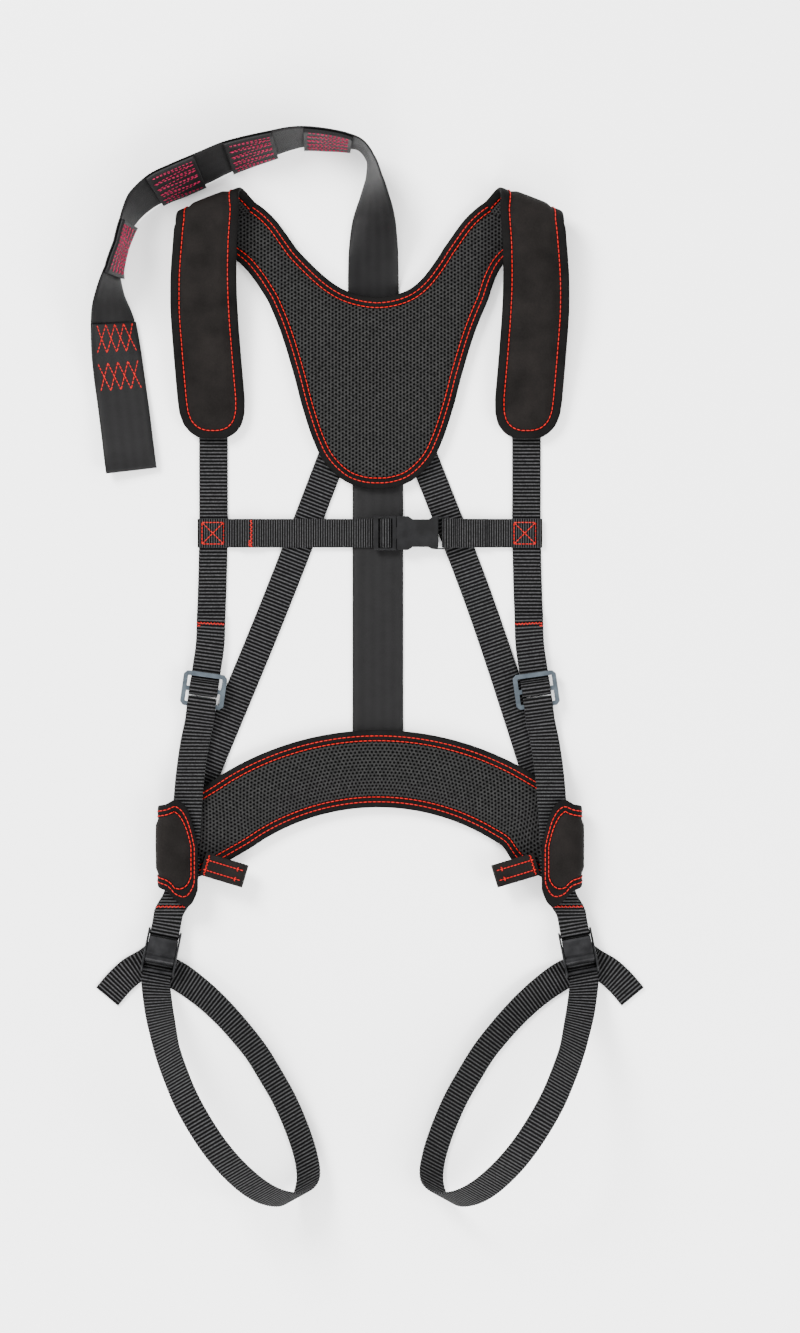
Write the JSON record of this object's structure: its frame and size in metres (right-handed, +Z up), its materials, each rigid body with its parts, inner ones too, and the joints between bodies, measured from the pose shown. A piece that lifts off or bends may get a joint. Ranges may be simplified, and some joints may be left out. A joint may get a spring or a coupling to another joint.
{
  "type": "safety harness vest",
  "caption": "Padded full-body safety harness vest with mesh-lined yoke and belt, webbing straps, leg loops, chest buckle and stitched tether.",
  "frame": {"origin": "on the surface the vest lies on, under the middle of the vest without its tether", "axes": "+X to the viewer's right seen from above, +Y towards the shoulders, +Z up out of the lining side"},
  "size_m": [0.4887, 0.9509, 0.0981],
  "materials": {
    "webbing": "ribbed black nylon webbing",
    "tether_webbing": "smooth black seat-belt webbing",
    "nylon": "brown-black plain-weave nylon",
    "foam": "padding foam inside the panels",
    "mesh_lining": "black air mesh",
    "buckle_plastic": "glossy black moulded plastic",
    "slider_metal": "blue-grey coated metal",
    "black_steel": "satin black coated steel"
  },
  "bodies": {
    "vest": {"dorsal_webbing": "webbing", "chest_tab_left": "webbing", "chest_strap_left": "webbing", "chest_strap_right": "webbing", "back_strap_left": "webbing", "back_strap_right": "webbing", "front_strap_upper_left": "webbing", "front_strap_upper_right": "webbing", "front_strap_lower_left": "webbing", "front_strap_lower_right": "webbing", "leg_tab_left": "webbing", "leg_tab_right": "webbing", "tether_webbing": "tether_webbing", "tether_fold_1": "tether_webbing", "tether_fold_2": "tether_webbing", "tether_fold_3": "tether_webbing", "tether_fold_4": "tether_webbing", "yoke_shell": "nylon", "belt_shell": "nylon", "shoulder_pad_shell_left": "nylon", "shoulder_pad_shell_right": "nylon", "yoke_foam": "foam", "belt_foam": "foam", "shoulder_pad_foam_left": "foam", "shoulder_pad_foam_right": "foam", "yoke_lining": "mesh_lining", "belt_lining": "mesh_lining", "shoulder_pad_lining_left": "mesh_lining", "shoulder_pad_lining_right": "mesh_lining", "buckle_socket": "buckle_plastic"},
    "chest_plug": {"buckle_plug": "buckle_plastic"},
    "prong_upper": {"prong_upper": "buckle_plastic"},
    "prong_lower": {"prong_lower": "buckle_plastic"},
    "slider_left": {"slider_frame_left": "slider_metal"},
    "leg_left": {"cam_frame_left": "black_steel", "cam_pin_left": "black_steel", "leg_webbing_left": "webbing"},
    "cam_lever_left": {"cam_lever_left": "black_steel"},
    "gear_loop_left": {"gear_loop_left": "nylon"},
    "slider_right": {"slider_frame_right": "slider_metal"},
    "leg_right": {"cam_frame_right": "black_steel", "cam_pin_right": "black_steel", "leg_webbing_right": "webbing"},
    "cam_lever_right": {"cam_lever_right": "black_steel"},
    "gear_loop_right": {"gear_loop_right": "nylon"}
  },
  "joints": [
    {"name": "chest_release", "type": "slide", "parent": "vest", "child": "chest_plug", "axis": [-1, 0, 0], "range_m": [0, 0.032], "deforming": ["chest_strap_left"]},
    {"name": "prong_upper_squeeze", "type": "hinge", "parent": "chest_plug", "child": "prong_upper", "pos_m": [0.0242, 0.1515, 0.0068], "axis": [0, 0, -1], "range_deg": [0, 7], "stiffness_Nm_per_rad": 0.05},
    {"name": "prong_lower_squeeze", "type": "hinge", "parent": "chest_plug", "child": "prong_lower", "pos_m": [0.0242, 0.1365, 0.0068], "axis": [0, 0, 1], "range_deg": [0, 7], "stiffness_Nm_per_rad": 0.05},
    {"name": "slider_left_adjust", "type": "slide", "parent": "vest", "child": "slider_left", "axis": [-0.1392, -0.9903, 0], "range_m": [-0.025, 0.025], "deforming": ["front_strap_upper_left", "front_strap_lower_left"]},
    {"name": "slider_right_adjust", "type": "slide", "parent": "vest", "child": "slider_right", "axis": [0.1392, -0.9903, 0], "range_m": [-0.025, 0.025], "deforming": ["front_strap_upper_right", "front_strap_lower_right"]},
    {"name": "leg_left_lift", "type": "hinge", "parent": "vest", "child": "leg_left", "pos_m": [-0.172, -0.182, 0.009], "axis": [-1, 0, 0], "range_deg": [0, 70], "deforming": ["leg_tab_left"]},
    {"name": "leg_right_lift", "type": "hinge", "parent": "vest", "child": "leg_right", "pos_m": [0.172, -0.182, 0.009], "axis": [-1, 0, 0], "range_deg": [0, 70], "deforming": ["leg_tab_right"]},
    {"name": "cam_lever_left_open", "type": "hinge", "parent": "leg_left", "child": "cam_lever_left", "pos_m": [-0.18565, -0.23239, 0.0111], "axis": [0.9816, -0.1908, 0], "range_deg": [0, 45], "stiffness_Nm_per_rad": 0.02, "springref_deg": -5.73},
    {"name": "cam_lever_right_open", "type": "hinge", "parent": "leg_right", "child": "cam_lever_right", "pos_m": [0.18565, -0.23239, 0.0111], "axis": [0.9816, 0.1908, 0], "range_deg": [0, 45], "stiffness_Nm_per_rad": 0.02, "springref_deg": -5.73},
    {"name": "gear_loop_left_swing", "type": "hinge", "parent": "vest", "child": "gear_loop_left", "pos_m": [-0.147, -0.148, 0.0156], "axis": [-0.2892, -0.9573, 0], "range_deg": [0, 45]},
    {"name": "gear_loop_right_swing", "type": "hinge", "parent": "vest", "child": "gear_loop_right", "pos_m": [0.147, -0.148, 0.0156], "axis": [-0.2892, 0.9573, 0], "range_deg": [0, 45]}
  ],
  "couplings": [
    {"joint": "prong_lower_squeeze", "follows": "prong_upper_squeeze", "ratio": 1}
  ]
}
